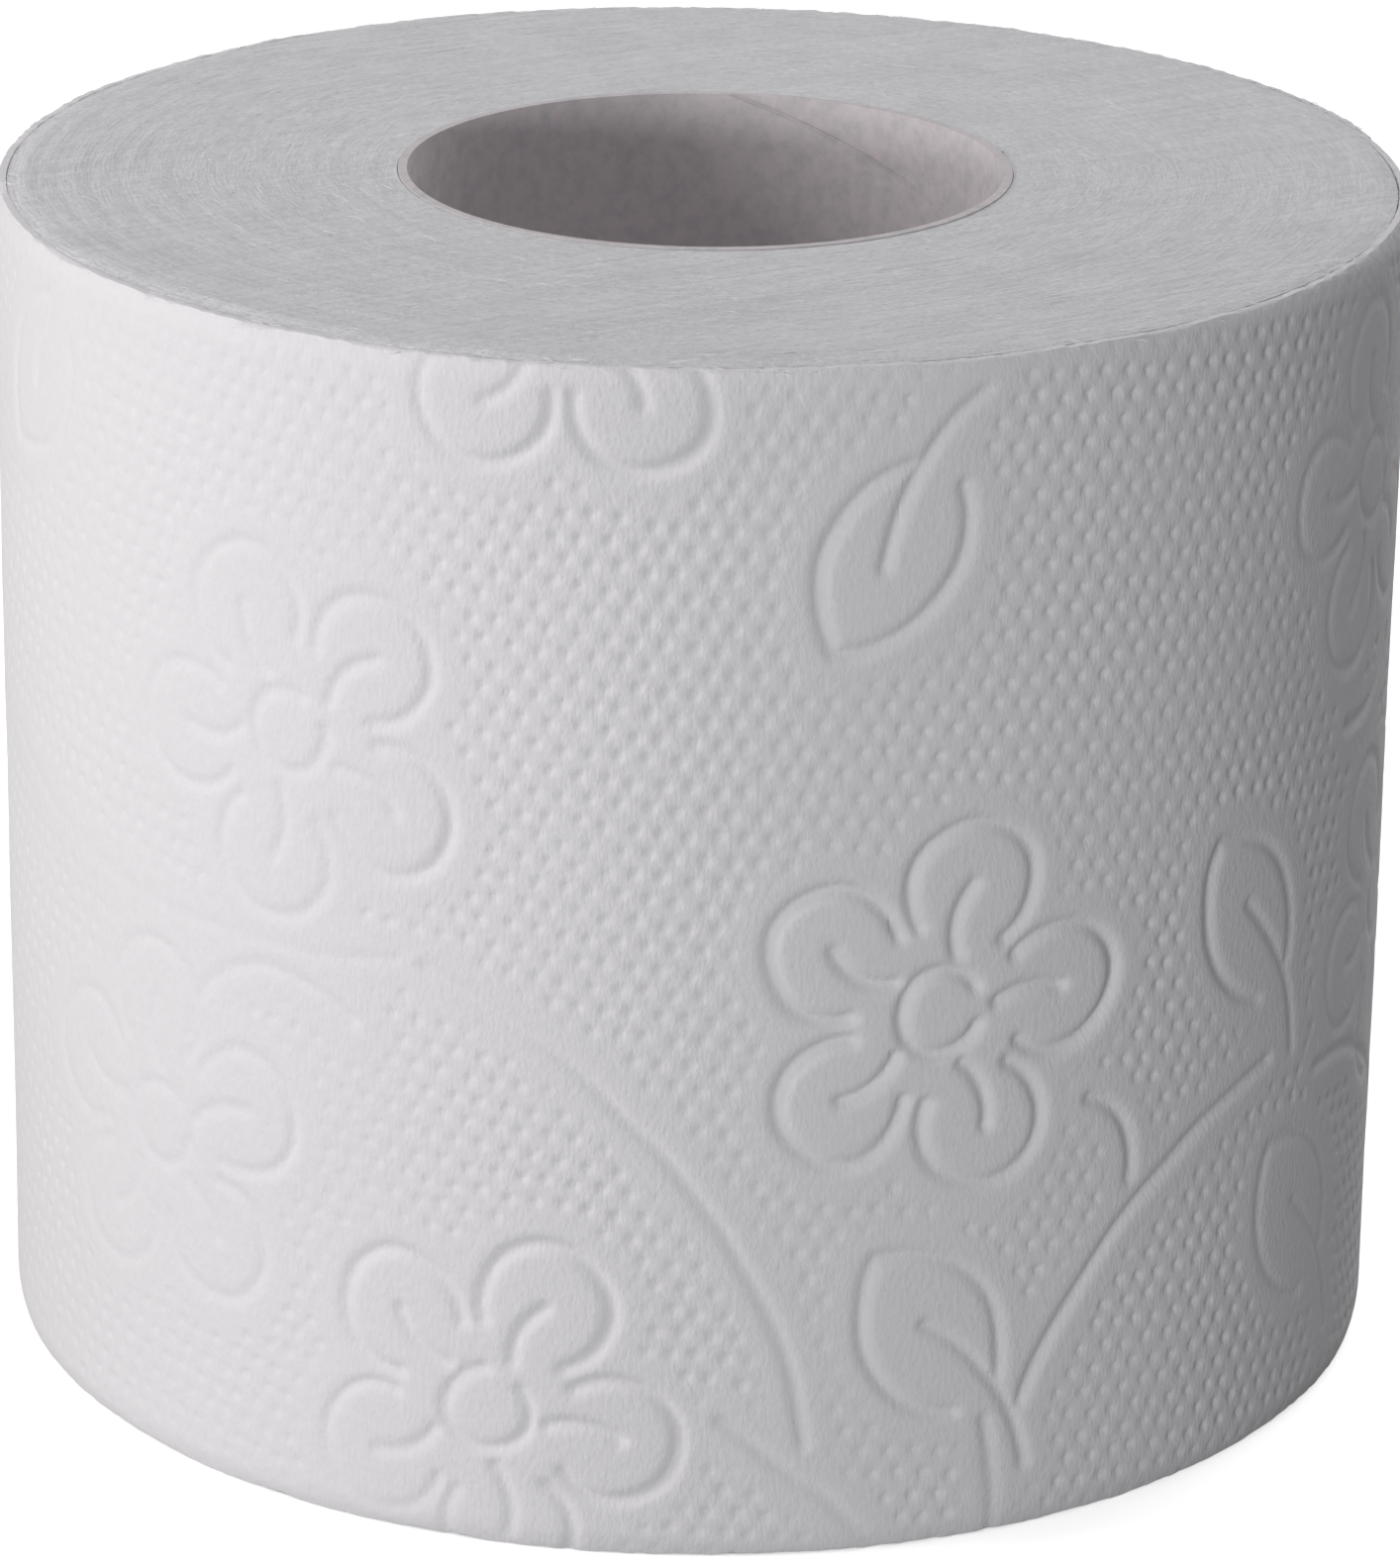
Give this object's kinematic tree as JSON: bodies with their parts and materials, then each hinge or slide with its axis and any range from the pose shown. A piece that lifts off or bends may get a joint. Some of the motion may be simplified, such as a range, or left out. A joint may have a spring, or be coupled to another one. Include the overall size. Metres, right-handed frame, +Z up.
{
  "type": "toilet paper roll",
  "caption": "Roll of white embossed toilet paper wound on a card core, standing on its end, to be hung on a holder's spindle.",
  "frame": {"origin": "centre of the roll's lower end face, on the core's axis", "axes": "+Z up along the core's axis, -Y towards the viewer of the picture, +X to the viewer's right"},
  "size_m": [0.1088, 0.1094, 0.092],
  "materials": {
    "paper": "soft creped white tissue, embossed, fully matt",
    "card": "spiral-wound grey card, matt"
  },
  "bodies": {
    "root": {"paper_roll": "paper", "core_tube": "card"}
  },
  "joints": []
}
